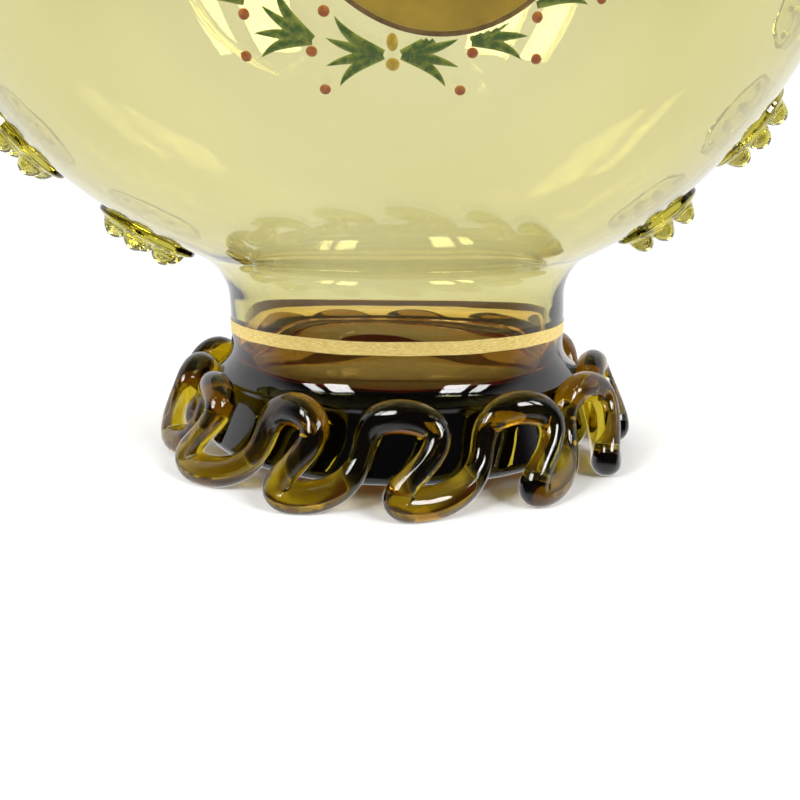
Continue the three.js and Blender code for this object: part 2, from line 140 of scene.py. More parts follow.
# Prunts: azimuth, lowest one's angle on the bowl and the angle from one to the next, in degrees
PRUNT_PLACES = {"left": (-82, -58.5, 19.2), "right": (86, -54, 17.6)}
PRUNTS_EACH = 3
PRUNT_RADIUS = 10
PRUNT_EDGE = 0.9
PRUNT_EDGE_FROM = 0.999
PRUNT_THICKNESS = 2.6
PRUNT_ROUNDING = 6
PRUNT_BERRIES = 6
PRUNT_BERRY = 2.8
PRUNT_BERRY_POWER = 0.7
PRUNT_RING = 6
PRUNT_RING_TURN = 0.2
PRUNT_HEIGHT = 5.6
PRUNT_BLEND = 2.2
PRUNT_BLEND_DROP = 0.05

# Handle: its ends start a little inside the wall
HANDLE_RADIUS = 6.4
HANDLE_FLAT = 0.8
HANDLE_REACH = 59.4
HANDLE_TURN = 18
HANDLE_TUCK = 11
HANDLE_FOOT_ANGLE = 26
HANDLE_TOP_DROP = 10
HANDLE_SEAT = 1
HANDLE_FOOT_SINK = 0.5
HANDLE_END_GROWTH = 0.65
HANDLE_END_LENGTH = 6

# Enamel: the garland's middle is this angle under the bowl's widest ring, and this far to the right.
# The sprays stand at these angles along its bow.
GARLAND_ANGLE = -31
GARLAND_ACROSS = 2.8
GARLAND_RADIUS = 28
GARLAND_MIDDLE = 29.3
GARLAND_SPRAYS = [2.5, 21.5, 41.5]
COAT_CROWN = 0.1

# Leaves of a spray: turn and bend in degrees, length as a share, width
LEAVES = [(-24, -46, 0.95, 1.55), (-9, -16, 0.97, 1.5), (8, 18, 0.97, 1.5), (22, 44, 1.02, 1.6)]
LEAF_LENGTH = 7.8
LEAF_BEND_POWER = 1.6
LEAF_START = 0.3
LEAF_POWER = 0.8
LEAF_TIP = 0.02
LEAF_STEP_UP = 0.02
LEAF_CLEARANCE = 0.15

# Berries and dots; the two dots have a height over the garland's middle, a radius and a stretch
BERRY_RADIUS = 0.75
BERRY_REACH = 1.4
BERRY_FAN = 35
BERRY_CLEARANCE = 1.5
DOT_CROWN = 0.14
DOT_FLATNESS = 0.96
DOTS = [(0, 0.9, 1.0), (3, 0.75, 1.6)]

# Medallion
MEDALLION_HALF_WIDTH = 20
MEDALLION_HALF_HEIGHT = 24
MEDALLION_ACROSS = 6
MEDALLION_RISE = 4.5
MEDALLION_LINE = 0.7
LINE_BEVEL = 0.08
LINE_FOOT = 0.02

# Fineness: rows along each stretch of a section, and columns round it
CUP_FLOOR_ROWS = 20
CUP_SIDE_ROWS = 16
CUP_RIM_ROWS = 3
BORE_FLOOR_ROWS = 28
BORE_CORNER_ROWS = 14
BORE_SIDE_ROWS = 60
WAIST_ROWS = 30
BOWL_ROWS = 64
SHOULDER_ROWS = 10
NECK_ROWS = 30
LIP_ROWS = 10
BOWL_COLUMNS = 192
PAD_UNDER_ROWS = 16
PAD_EDGE_ROWS = 8
PAD_FLANK_ROWS = 48
PAD_COLUMNS = 160
ROPE_ROWS_EACH = 72
ROPE_COLUMNS = 28
PRUNT_RINGS = 44
PRUNT_COLUMNS = 108
HANDLE_STEPS = 120
HANDLE_COLUMNS = 32
GILT_COLUMNS = 384
LEAF_STEPS = 14
LEAF_COLUMNS = 7
DOT_RINGS = 6
DOT_COLUMNS = 28
MEDALLION_RINGS = 24
MEDALLION_COLUMNS = 120
TABLE_CORNERS = 96

# Edges sharper than these, in degrees, stay sharp
RIM_SHARP = 40
PRESSED_SHARP = 60

# Glass: the colour that it lets through, and how strongly it takes the rest
IOR = 1.5
BOWL_TINT = (0.716, 0.658, 0.0)
BOWL_DENSITY = 270
PAD_TINT = (0.85, 0.66, 0.0)
PAD_DENSITY = 600
PRUNT_TINT = (0.82, 0.785, 0.22)
PRUNT_DENSITY = 190
THREAD_TINT = (0.847, 0.78, 0.1)
ROPE_DENSITY = 891
HANDLE_DENSITY = 99
RIPPLE = {"bowl": 0.05, "pad": 0.04, "prunt": 0.04, "rope": 0.08, "handle": 0.1}

# Enamel paints: darker and lighter tone, roughness, fineness of the strokes, and thinning to the edge
PAINTS = {
    "leaf_green": ((0.05, 0.1, 0.006), (0.25, 0.29, 0.03), 0.5, 900, 0.3),
    "berry_red": ((0.3, 0.07, 0.008), (0.52, 0.2, 0.03), 0.4, 1200, 0.3),
    "drop_yellow": ((0.42, 0.26, 0.008), (0.66, 0.48, 0.06), 0.4, 1000, 0.3),
    "amber_stain": ((0.27, 0.16, 0.001), (0.46, 0.31, 0.012), 0.35, 60, 0),
    "outline_brown": ((0.1, 0.05, 0.006), (0.2, 0.115, 0.02), 0.45, 800, 0),
}
MEAN_CROWN = 0.6
PAINT_TONES_AT = (0.35, 0.68)
GOLD_TONES = ((0.72, 0.48, 0.1), (1.0, 0.8, 0.3))
GOLD_TONES_AT = (0.32, 0.6)
GOLD_METALLIC = 0.4
GOLD_ROUGHNESS = (0.32, 0.6)
GOLD_STRETCH = (1, 1, 6)

# Camera: where the photograph was taken from, about the foot's axis
CAMERA_DISTANCE = 212.1
CAMERA_HEIGHT = 67.5
CAMERA_PITCH = 15.49
CAMERA_ROLL = 0.39
SENSOR_WIDTH = 36
PICTURE_WIDTH = 800
FOCAL_LENGTH = 979
CAMERA_SHIFT = 3.4

# Ground: a pale disc that blends into the backdrop, in metres from the middle. Its glow fades out under the
# foot, which paints a shadow there
TABLE_RADIUS = 0.14
TABLE_DROP = 0.0001
FLOOR_GLOW = 0.25
FLOOR_TONE = 0.8
FLOOR_ROUGHNESS = 0.9
# Painted shadow under the foot: no glow inside the first radius, the full near glow from the second
PAINTED_SHADOW_UNDER_FOOT = (0.035, 0.06)
SWEEP = (0.09, 0.135)

# Light: a dim room in front, bright low down, a white backdrop behind, which dims overhead
ROOM_GLOW = 0.06
LOW_FRONT_GLOW = 1.0
LOW_FRONT = (-0.7, -0.35)
BACK_GLOW = 1.05
OVERHEAD_GLOW = 0.4
OVERHEAD = (0.8, 0.97)
FRONT_TO_BACK = (-0.25, 0.2)
# Two soft panels on each side: azimuth, elevation, half width and half height in degrees, and brightness
PANELS = [(42, 36, 9, 11, 20.0), (63, 37, 5, 9, 16.0)]
# One soft lamp overhead, a little behind
LAMP_ELEVATION = 70
LAMP_DISTANCE = 1.6
LAMP_AIM_Z = 0.05
LAMP_SIZE = 0.8
LAMP_POWER = 6


def smoothstep(value, low, high):
    """Rises gently from 0 at the low end to 1 at the high end."""
    share = np.clip((value - low) / (high - low), 0, 1)
    return share * share * (3 - 2 * share)


def spread(low, high, steps, value):
    """The values at evenly spread places, both ends among them."""
    return [value(low + (high - low) * i / steps) for i in range(steps + 1)]


# Section of the bubble

def fillet_centre(beside, fillet, side):
    """Centre of the fillet between the round of the bowl and the straight wall beside it."""
    r = beside + fillet
    reach = BOWL_ARC + fillet
    return r, BOWL_CENTRE_Z + side * math.sqrt(reach**2 - (r - BOWL_CENTRE_R) ** 2)


BOWL_CENTRE_R = BOWL_RADIUS - BOWL_ARC
WAIST = fillet_centre(WAIST_RADIUS, WAIST_FILLET, -1)
SHOULDER = fillet_centre(NECK_RADIUS, SHOULDER_FILLET, 1)
NECK_TOP = SHOULDER[1] + NECK_LENGTH
RIM_Z = NECK_TOP + RIM_FLARE


def tangent_z(centre, inset=0):
    """Height at which a fillet meets the round of the bowl."""
    distance = math.hypot(centre[0] - BOWL_CENTRE_R, centre[1] - BOWL_CENTRE_Z)
    return BOWL_CENTRE_Z + (BOWL_ARC - inset) * (centre[1] - BOWL_CENTRE_Z) / distance


def side_radius(z, inset=0):
    """Outside of the bubble at a height, or the wall that far inside it."""
    if z <= WAIST[1]:
        return WAIST_RADIUS - inset
    if z < tangent_z(WAIST, inset):
        return WAIST[0] - math.sqrt((WAIST_FILLET + inset) ** 2 - (z - WAIST[1]) ** 2)
    if z < tangent_z(SHOULDER, inset):
        return BOWL_CENTRE_R + math.sqrt((BOWL_ARC - inset) ** 2 - (z - BOWL_CENTRE_Z) ** 2)
    if z < SHOULDER[1]:
        return SHOULDER[0] - math.sqrt((SHOULDER_FILLET + inset) ** 2 - (z - SHOULDER[1]) ** 2)
    if z < NECK_TOP:
        return NECK_RADIUS - inset
    return NECK_RADIUS - inset + (RIM_RADIUS - NECK_RADIUS) * ((z - NECK_TOP) / RIM_FLARE) ** 2


def bore_radius(z):
    """Inside of the foot end, where the wall thins out upwards."""
    thinned = float(smoothstep(z, FOOT_WALL_Z, THIN_WALL_Z))
    return side_radius(z, FOOT_WALL + (WALL - FOOT_WALL) * thinned)


def flare_radius(z):
    """Flare from the waist out to the pad, which widens faster the lower it gets."""
    share = max(0, (FLARE_TOP_Z - z) / (FLARE_TOP_Z - ROPE_TOP_Z))
    return WAIST_RADIUS + (pad_radius(ROPE_TOP_Z) - WAIST_RADIUS) * share**FLARE_POWER


def foot_radius(z):
    """Outside of the foot under the joint."""
    return flare_radius(z) if z > ROPE_TOP_Z else pad_radius(z)


def cup(lift=0.0):
    """Where the bubble is fused into the foot: floor, side and rim, from near the axis out."""
    points = spread(FIRST_RING, CUP_RADIUS, CUP_FLOOR_ROWS, lambda r: (r, CUP_FLOOR_Z + lift))
    points += spread(CUP_FLOOR_Z + lift, JOINT_Z + lift, CUP_SIDE_ROWS, lambda z: (CUP_RADIUS, z))[1:]
    points += spread(CUP_RADIUS, WAIST_RADIUS, CUP_RIM_ROWS, lambda r: (r, JOINT_Z + lift))[1:]
    return points


def bore():
    """Inside of the foot end of the bubble, from near the axis out and up to the inside of the bowl."""
    rise = BORE_FLOOR_Z + BORE_CORNER
    flat = bore_radius(rise) - BORE_CORNER
    points = spread(FIRST_RING, flat, BORE_FLOOR_ROWS, lambda r: (r, BORE_FLOOR_Z))
    points += spread(0, math.pi / 2, BORE_CORNER_ROWS, lambda turn: (
        flat + BORE_CORNER * math.sin(turn), rise - BORE_CORNER * math.cos(turn)))[1:]
    points += spread(rise, tangent_z(WAIST, WALL), BORE_SIDE_ROWS, lambda z: (bore_radius(z), z))[1:]
    return points


def bowl_round(low, high, inset):
    """The round of the bowl from one height to another."""
    reach = BOWL_ARC - inset
    start, end = (math.asin((z - BOWL_CENTRE_Z) / reach) for z in (low, high))
    return spread(start, end, BOWL_ROWS, lambda turn: (
        BOWL_CENTRE_R + reach * math.cos(turn), BOWL_CENTRE_Z + reach * math.sin(turn)))


def shoulder_and_neck(inset):
    """From the shoulder's start up to the end of the straight wall under the lip."""
    start = tangent_z(SHOULDER, inset)
    points = spread(start, SHOULDER[1], SHOULDER_ROWS, lambda z: (side_radius(z, inset), z))[1:]
    top = RIM_Z - RIM_GILT_DROP
    points += spread(SHOULDER[1], top, NECK_ROWS, lambda z: (side_radius(z, inset), z))[1:]
    return points


def bubble_outside():
    """Outside of the bubble from the joint up to the lip."""
    points = spread(JOINT_Z + JOINT_GAP, tangent_z(WAIST), WAIST_ROWS, lambda z: (side_radius(z), z))[1:]
    points += bowl_round(tangent_z(WAIST), tangent_z(SHOULDER), 0)[1:]
    return points + shoulder_and_neck(0)


def bubble_inside():
    """Inside of the bubble from the bore's floor up to the lip."""
    points = bore()
    points += bowl_round(points[-1][1], tangent_z(SHOULDER, WALL), WALL)[1:]
    return points + shoulder_and_neck(WALL)


def lip():
    """Rounded edge of the rim, from the outside to the inside."""
    half = WALL / 2
    middle = side_radius(RIM_Z) - half
    return spread(0, math.pi, LIP_ROWS, lambda turn: (
        middle + half * math.cos(turn), RIM_Z + half * (math.sin(turn) - 1)))


# Bends of the bubble and of what lies on it

def leaned(points):
    """Shifts and leans the bubble on its foot, above the gilt line."""
    z = points[:, 2]
    start = GILT_Z + GILT_WIDTH / 2
    shift = BOWL_OFFSET * smoothstep(z, start, start + BOWL_OFFSET_LENGTH)
    points[:, 0] -= shift + BOWL_LEAN * np.maximum(0, z - start)
    return points


def spouted(points):
    """Pulls the rim out and up to the spout."""
    share = smoothstep(points[:, 2], RIM_Z - SPOUT_LENGTH, RIM_Z) ** 2
    away = np.arctan2(points[:, 1], -points[:, 0]) / math.radians(SPOUT_HALF_ANGLE)
    pull = share * np.exp(-(away**2))
    points[:, 0] -= SPOUT_REACH * pull
    points[:, 2] += SPOUT_LIFT * pull
    return points


def waves(azimuth, z, seed, length):
    """Smooth unevenness, mostly between -1 and 1."""
    rng = np.random.default_rng(seed)
    total = 0
    for _ in range(WAVE_COUNT):
        across = rng.integers(*WAVES_ROUND)
        up = rng.uniform(-1, 1) * 2 * np.pi / length
        total = total + np.sin(across * azimuth + up * z + rng.uniform(0, 2 * np.pi))
    return total / WAVE_EVEN_OUT


# Mesh helpers

def piece(name, points, faces, material, node, sharp=None, joined=None):
    """A shown piece from points in millimetres about the foot's axis."""
    mesh = bpy.data.meshes.new(name)
    placed = (np.asarray(points, float) + AXIS) * MM
    mesh.from_pydata(placed.tolist(), [], faces)
    mesh.polygons.foreach_set("use_smooth", [True] * len(mesh.polygons))
    if sharp:
        mesh.set_sharp_from_angle(angle=math.radians(sharp))
    if joined is not None:
        fused = [all(joined[v] for v in face) for face in faces]
        set_values(mesh, "fused", "FACE", fused)
    mesh.materials.append(material)
    made = bpy.data.objects.new(name, mesh)
    bpy.context.scene.collection.objects.link(made)
    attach(made, "root")
    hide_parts(node)
    return made


def set_values(mesh, name, domain, numbers):
    """One number for each face or point, for the materials to read."""
    values = mesh.attributes.new(name, "FLOAT", domain)
    values.data.foreach_set("value", np.asarray(numbers, np.float32))


def turns(steps):
    """Evenly spread angles of one full turn."""
    return np.arange(steps) * 2 * np.pi / steps


def grid_faces(rows, columns, wrap_rows=False, wrap_columns=True):
    """Faces between rows of points, which look outward where the rows rise and run counter-clockwise."""
    faces = []
    for i in range(rows if wrap_rows else rows - 1):
        for j in range(columns if wrap_columns else columns - 1):
            a, b = i * columns, ((i + 1) % rows) * columns
            k = (j + 1) % columns
            faces.append((a + j, a + k, b + k, b + j))
    return faces


def flipped(faces):
    """The same faces, looking the other way."""
    return [face[::-1] for face in faces]


def closed_faces(rows, columns):
    """Faces of a closed form: rows of points, then the first and the last point on its axis."""
    faces = grid_faces(rows, columns)
    first, last = rows * columns, rows * columns + 1
    end = (rows - 1) * columns
    for j in range(columns):
        k = (j + 1) % columns
        faces.append((first, k, j))
        faces.append((last, end + j, end + k))
    return faces


def lathe(profile, columns):
    """A solid turned from a profile that starts and ends on the axis, counter-clockwise from the front."""
    turn = turns(columns)
    r = np.array([p[0] for p in profile[1:-1]])[:, None]
    z = np.array([p[1] for p in profile[1:-1]])[:, None]
    grid = np.stack([r * np.sin(turn), -r * np.cos(turn), z + 0 * turn], axis=2).reshape(-1, 3)
    poles = np.array([[0, 0, profile[0][1]], [0, 0, profile[-1][1]]])
    return np.vstack([grid, poles]), closed_faces(len(profile) - 2, columns)


def tube_row(centre, first, second, columns, start=0.0):
    """One ring of a tube, from the first direction towards the second, begun a share of a step on."""
    turn = (np.arange(columns) + start) * 2 * np.pi / columns
    return centre + np.cos(turn)[:, None] * first + np.sin(turn)[:, None] * second


# Pieces of glass

def bowl(material):
    """Blown bubble, fused into the foot's cup."""
    joint, outer, rim, inner = cup(JOINT_GAP), bubble_outside(), lip(), bubble_inside()
    profile = [(0, CUP_FLOOR_Z + JOINT_GAP)] + joint + outer + rim + inner[::-1] + [(0, BORE_FLOOR_Z)]
    points, faces = lathe(profile, BOWL_COLUMNS)
    joint_end = len(joint) * BOWL_COLUMNS
    inside_start = joint_end + (len(outer) + len(rim)) * BOWL_COLUMNS
    joined = np.zeros(len(points), bool)
    joined[:joint_end] = True
    joined[-2] = True
    inside = np.zeros(len(points), bool)
    inside[inside_start:-2] = True
    points += wall_waves(points, inside)
    points[:, :2] *= BOWL_SHRINK
    points = leaned(spouted(points))
    piece("bowl_and_neck", points, faces, material, "body", RIM_SHARP, joined)


def wall_waves(points, inside):
    """Shifts of the inner wall, in and out."""
    z = points[:, 2]
    uneven = waves(np.arctan2(points[:, 0], -points[:, 1]), z, BOWL_WAVE_SEED, BOWL_WAVE_LENGTH)
    low, high = (RIM_Z - drop for drop in WAVE_END_DROPS)
    fade = smoothstep(z, JOINT_Z, WAVE_START_Z) * (1 - smoothstep(z, low, high))
    size = np.hypot(points[:, 0], points[:, 1])[:, None]
    outward = points * [1, 1, 0] / np.maximum(size, TINY)
    return outward * (np.where(inside, BOWL_WAVE_DEPTH * uneven, 0) * fade)[:, None]


def pad_radius(z):
    """The pad's side: inside the rope's path at that height, by the gap."""
    up = min(1, max(0, (z - ROPE_LOW_Z) / (ROPE_TOP_Z - ROPE_LOW_Z)))
    cosine = 2 * up - 1
    innermost = rope_ring(up, -math.sqrt(1 - cosine**2))
    return innermost - rope_thickness(cosine) - ROPE_GAP


def foot_pad(material):
    """Solid pad with a domed underside, a flank that follows the rope, and the cup in its top."""
    side = PAD_UNDER_Z + PAD_EDGE
    edge = pad_radius(side) - PAD_EDGE
    outside = spread(0, edge, PAD_UNDER_ROWS, lambda r: (r, PAD_UNDER_Z + PAD_DOME * (1 - (r / edge) ** 2)))
    outside += spread(-math.pi / 2, 0, PAD_EDGE_ROWS, lambda turn: (
        edge + PAD_EDGE * math.cos(turn), side + PAD_EDGE * math.sin(turn)))[1:]
    outside += spread(side, JOINT_Z, PAD_FLANK_ROWS, lambda z: (foot_radius(z), z))[1:]
    points, faces = lathe(outside + cup()[-2::-1] + [(0, CUP_FLOOR_Z)], PAD_COLUMNS)
    joined = np.zeros(len(points), bool)
    joined[(len(outside) - 2) * PAD_COLUMNS:] = True
    joined[-2] = False
    piece("foot_pad_glass", points, faces, material, "foot_pad", RIM_SHARP, joined)


def rope_ring(up, side):
    """Distance of the thread's middle from the axis."""
    return ROPE_LOOP_RING + (ROPE_TOP_RING - ROPE_LOOP_RING) * up + ROPE_BULGE * side


def rope_thickness(cosine):
    """Half the thread's thickness: more in its bends than in its legs."""
    return ROPE_LEG + (ROPE_BEND - ROPE_LEG) * cosine**2


def arch_azimuth(index):
    """Where an upper arch of the rope stands, in degrees."""
    first, last = FRONT_WAVES[0], FRONT_WAVES[-1]
    if index < len(FRONT_WAVES):
        return FRONT_WAVES[index]
    return last + (first + 360 - last) * (index - len(FRONT_WAVES) + 1) / (BACK_WAVES + 1)


def rope_azimuth(place):
    """Azimuth at a place along the rope, which is counted in waves."""
    rounds = math.floor(place / ROPE_WAVES)
    wave = place - rounds * ROPE_WAVES
    index = math.floor(wave)
    low, high = arch_azimuth(index), arch_azimuth(index + 1)
    return math.radians(360 * rounds + low + (high - low) * (wave - index))


def rope_point(place):
    """Middle of the thread, which leans and curls as it goes up and down."""
    turn = 2 * math.pi * place
    shift = ROPE_CURL * math.sin(2 * turn + ROPE_CURL_PHASE) + ROPE_LEAN * math.cos(turn)
    azimuth = rope_azimuth(place + shift)
    up = (1 + math.cos(turn)) / 2
    r = rope_ring(up, math.sin(turn))
    z = ROPE_LOW_Z + (ROPE_TOP_Z - ROPE_LOW_Z) * up
    return np.array([r * math.sin(azimuth), -r * math.cos(azimuth), z])


def foot_rope(material):
    """One closed wavy thread, thicker in its bends, flat where it stands on the ground."""
    steps = ROPE_WAVES * ROPE_ROWS_EACH
    slow, fast = ROPE_UNEVEN_TURNS
    rows = []
    for i in range(steps):
        place = ROPE_WAVES * i / steps
        turn = 2 * math.pi * place
        centre = rope_point(place)
        tangent = rope_point(place + SLOPE_STEP) - rope_point(place - SLOPE_STEP)
        tangent /= np.linalg.norm(tangent)
        outward = centre * [1, 1, 0] / np.linalg.norm(centre[:2])
        across = np.cross(tangent, outward)
        across /= np.linalg.norm(across)
        over = np.cross(across, tangent)
        radius = rope_thickness(math.cos(turn))
        radius *= 1 + ROPE_UNEVEN * math.sin(slow * turn + ROPE_UNEVEN_PHASE) * math.sin(fast * turn)
        rows.append(tube_row(centre, radius * across, radius * over, ROPE_COLUMNS, start=0.5))
    points = np.vstack(rows)
    points[:, 2] = np.maximum(points[:, 2], 0.0)
    faces = flipped(grid_faces(steps, ROPE_COLUMNS, wrap_rows=True))
    piece("rope_foot", points, faces, material, "foot_rope")


def on_bowl(azimuth, angle, lift=0.0):
    """Places on the outside of the bowl, before it leans."""
    r = BOWL_CENTRE_R + (BOWL_ARC + lift) * np.cos(angle)
    z = BOWL_CENTRE_Z + (BOWL_ARC + lift) * np.sin(angle)
    return np.stack([r * np.sin(azimuth), -r * np.cos(azimuth), z + 0 * azimuth], axis=-1)


def prunt_height(x, y):
    """Height of the pressed side: a rounded plate with a ring of berries round a middle one."""
    away = np.hypot(x, y) / PRUNT_RADIUS
    height = PRUNT_EDGE + (PRUNT_THICKNESS - PRUNT_EDGE) * np.sqrt(np.maximum(0, 1 - away**PRUNT_ROUNDING))
    turn = turns(PRUNT_BERRIES) + PRUNT_RING_TURN
    middles = [(PRUNT_RING * math.cos(a), PRUNT_RING * math.sin(a)) for a in turn] + [(0, 0)]
    for across, up in middles:
        off = np.hypot(x - across, y - up) / PRUNT_BERRY
        dome = PRUNT_HEIGHT * np.sqrt(np.maximum(0, 1 - off**2)) ** PRUNT_BERRY_POWER
        joint = np.exp(PRUNT_BLEND * height) + np.exp(PRUNT_BLEND * dome)
        height = np.log(joint) / PRUNT_BLEND - PRUNT_BLEND_DROP
    height[away > PRUNT_EDGE_FROM] = PRUNT_EDGE
    return height


def prunt(name, node, azimuth, angle, material):
    """A pressed disc, in one skin with its back, which follows the bowl."""
    turn = turns(PRUNT_COLUMNS)
    share = np.linspace(0, 1, PRUNT_RINGS + 1)[1:]
    r = PRUNT_RADIUS * np.sin(share * np.pi / 2)
    x = (r[:, None] * np.cos(turn)).ravel()
    y = (r[:, None] * np.sin(turn)).ravel()
    seat = on_bowl(azimuth, angle)
    normal = on_bowl(azimuth, angle, 1.0) - seat
    up = np.array([0, 0, 1.0]) - normal * normal[2]
    up /= np.linalg.norm(up)
    beside = np.cross(up, normal)
    flat = seat + x[:, None] * beside + y[:, None] * up
    top = flat + prunt_height(x, y)[:, None] * normal
    sag = BOWL_ARC - np.sqrt(BOWL_ARC**2 - np.hypot(x, y) ** 2)
    base = flat + (PAINT_LIFT - sag)[:, None] * normal
    back = base[::-1].reshape(PRUNT_RINGS, PRUNT_COLUMNS, 3)[:, ::-1].reshape(-1, 3)
    points = leaned(np.vstack([top, back, seat + normal * PRUNT_HEIGHT, seat + PAINT_LIFT * normal]))
    faces = flipped(closed_faces(2 * PRUNT_RINGS, PRUNT_COLUMNS))
    piece(name, points, faces, material, node, PRESSED_SHARP)


def blend(first, second, value, start, end):
    """The first at the start, the second at the end, and in proportion between them."""
    return first + (second - first) * (value - start) / (end - start)


def curve_through(knots, steps):
    """Centripetal Catmull-Rom curve: blends of neighbouring knots, then blends of these, twice."""
    ends = np.vstack([2 * knots[0] - knots[1], knots, 2 * knots[-1] - knots[-2]])
    spans = len(knots) - 1
    path = []
    for i in range(steps + 1):
        place = spans * i / steps
        span = min(int(place), spans - 1)
        p = ends[span:span + 4]
        t = [0]
        for a, b in zip(p, p[1:]):
            t.append(t[-1] + math.sqrt(max(TINY, np.linalg.norm(b - a))))
        at = t[1] + (t[2] - t[1]) * (place - span)
        pairs = [blend(p[j], p[j + 1], at, t[j], t[j + 1]) for j in range(3)]
        triples = [blend(pairs[j], pairs[j + 1], at, t[j], t[j + 2]) for j in range(2)]
        path.append(blend(triples[0], triples[1], at, t[1], t[2]))
    return np.array(path)


def handle(material):
    """A drawn thread from the neck out, down and back to the bowl, with both ends pressed wide."""
    top_z = NECK_TOP - HANDLE_TOP_DROP
    high = top_z + HANDLE_RADIUS
    out = NECK_RADIUS + HANDLE_REACH
    foot = on_bowl(np.array(math.radians(90)), math.radians(HANDLE_FOOT_ANGLE))
    knots = np.array([
        [NECK_RADIUS - HANDLE_SEAT, 0, top_z],
        [(NECK_RADIUS + out) / 2, 0, high],
        [out, 0, high - HANDLE_TURN],
        [out + HANDLE_RADIUS, 0, (top_z + foot[2]) / 2],
        [foot[0] + HANDLE_TUCK, 0, foot[2] + HANDLE_RADIUS],
        [foot[0] - HANDLE_SEAT, 0, foot[2] - HANDLE_FOOT_SINK],
    ])
    path = curve_through(knots, HANDLE_STEPS)
    across = np.array([0, 1.0, 0])
    rows = []
    for i, centre in enumerate(path):
        tangent = path[min(i + 1, HANDLE_STEPS)] - path[max(i - 1, 0)]
        tangent /= np.linalg.norm(tangent)
        end = min(np.linalg.norm(centre - path[0]), np.linalg.norm(centre - path[-1]))
        radius = HANDLE_RADIUS * (1 + HANDLE_END_GROWTH * math.exp(-((end / HANDLE_END_LENGTH) ** 2)))
        over = np.cross(across, tangent)
        rows.append(tube_row(centre, radius * HANDLE_FLAT * over, radius * across, HANDLE_COLUMNS))
    points = np.vstack(rows)
    faces = grid_faces(len(path), HANDLE_COLUMNS)
    faces.append(tuple(range(HANDLE_COLUMNS - 1, -1, -1)))
    faces.append(tuple(range(len(points) - HANDLE_COLUMNS, len(points))))
    points = leaned(outside_wall(points))
    piece("drawn_handle", points, faces, material, "handle", PRESSED_SHARP)


def outside_wall(points):
    """Moves the points that are inside the bubble out to its surface."""
    radius = np.hypot(points[:, 0], points[:, 1])
    side = np.array([side_radius(z) if z < RIM_Z else 0 for z in points[:, 2]]) + PAINT_LIFT
    short = radius < side
    points[short, :2] *= (side[short] / np.maximum(radius[short], TINY))[:, None]
    return points


# Gilding

def gilt_line(name, node, low, seed, material, settle=0.0):
    """A brushed ring of gold, with uneven edges. It settles to the back by twice the given height."""
    azimuth = turns(GILT_COLUMNS)
    drop = settle * (1 - np.cos(azimuth))
    bottom, top = (
        z + GILT_UNEVEN * waves(azimuth * GILT_UNEVEN_TURNS, 0, seed + k, GILT_UNEVEN_LENGTH) - drop
        for k, z in enumerate((low, low + GILT_WIDTH))
    )
    rows = []
    for share, lift in GILT_SECTION:
        z = bottom + (top - bottom) * share
        side = np.array([max(side_radius(v), flare_radius(v)) for v in z])
        r = side + PAINT_LIFT + GILT_THICKNESS * lift
        rows.append(np.stack([r * np.sin(azimuth), -r * np.cos(azimuth), z], axis=1))
    points = leaned(spouted(np.vstack(rows)))
    faces = grid_faces(len(GILT_SECTION), GILT_COLUMNS, wrap_rows=True)
    piece(name, points, faces, material, node, RIM_SHARP)


# Enamel: drawn flat, across and up from the garland's middle in millimetres, and laid on the bowl

def on_front(across, up, lift):
    """Lays flat places on the front of the bowl."""
    angle = math.radians(GARLAND_ANGLE) + up / BOWL_ARC
    r = BOWL_CENTRE_R + BOWL_ARC * np.cos(angle)
    return leaned(on_bowl((GARLAND_ACROSS + across) / r, angle, lift).reshape(-1, 3))


def clear_of_medallion(x, y, margin):
    """Whether places keep the margin to the medallion."""
    across = (x - MEDALLION_ACROSS) / (MEDALLION_HALF_WIDTH + margin)
    up = (y - MEDALLION_RISE - MEDALLION_HALF_HEIGHT) / (MEDALLION_HALF_HEIGHT + margin)
    return across**2 + up**2 > 1


def leaf_blade(x, y, heading, bend, length, width):
    """A blade along a bending spine: rows of across, up and crown, from its foot to its tip."""
    rows = []
    for i in range(LEAF_STEPS + 1):
        share = i / LEAF_STEPS
        turn = math.radians(heading + bend * share**LEAF_BEND_POWER)
        swell = math.sin(math.pi * (LEAF_START + (1 - LEAF_START) * share)) ** LEAF_POWER
        half = width / 2 * (swell + LEAF_TIP)
        for side in np.linspace(-1, 1, LEAF_COLUMNS):
            rows.append((x - side * half * math.sin(turn), y + side * half * math.cos(turn), 1 - side * side))
        x += length / LEAF_STEPS * math.cos(turn)
        y += length / LEAF_STEPS * math.sin(turn)
    return np.array(rows)


def leaves(index, side, x, y, heading, material):
    """Four blades from one point, each a little over the one before, cut off at the medallion."""
    blade_faces = flipped(grid_faces(LEAF_STEPS + 1, LEAF_COLUMNS, wrap_columns=False))
    points, faces, crown = [], [], []
    for k, (away, bend, length, width) in enumerate(LEAVES):
        start = len(crown)
        blade = leaf_blade(x, y, heading + side * away, side * bend, LEAF_LENGTH * length, width)
        keep = clear_of_medallion(blade[:, 0], blade[:, 1], MEDALLION_LINE + LEAF_CLEARANCE)
        lift = PAINT_LIFT + LEAF_STEP_UP * k + COAT_CROWN * blade[:, 2]
        points.append(on_front(blade[:, 0], blade[:, 1], lift))
        faces += [tuple(v + start for v in face) for face in blade_faces if all(keep[v] for v in face)]
        crown.extend(blade[:, 2])
    made = piece(f"painted_leaves_{index}", np.vstack(points), faces, material,
                 f"leaf_spray_{index}")
    set_values(made.data, "crown", "POINT", crown)


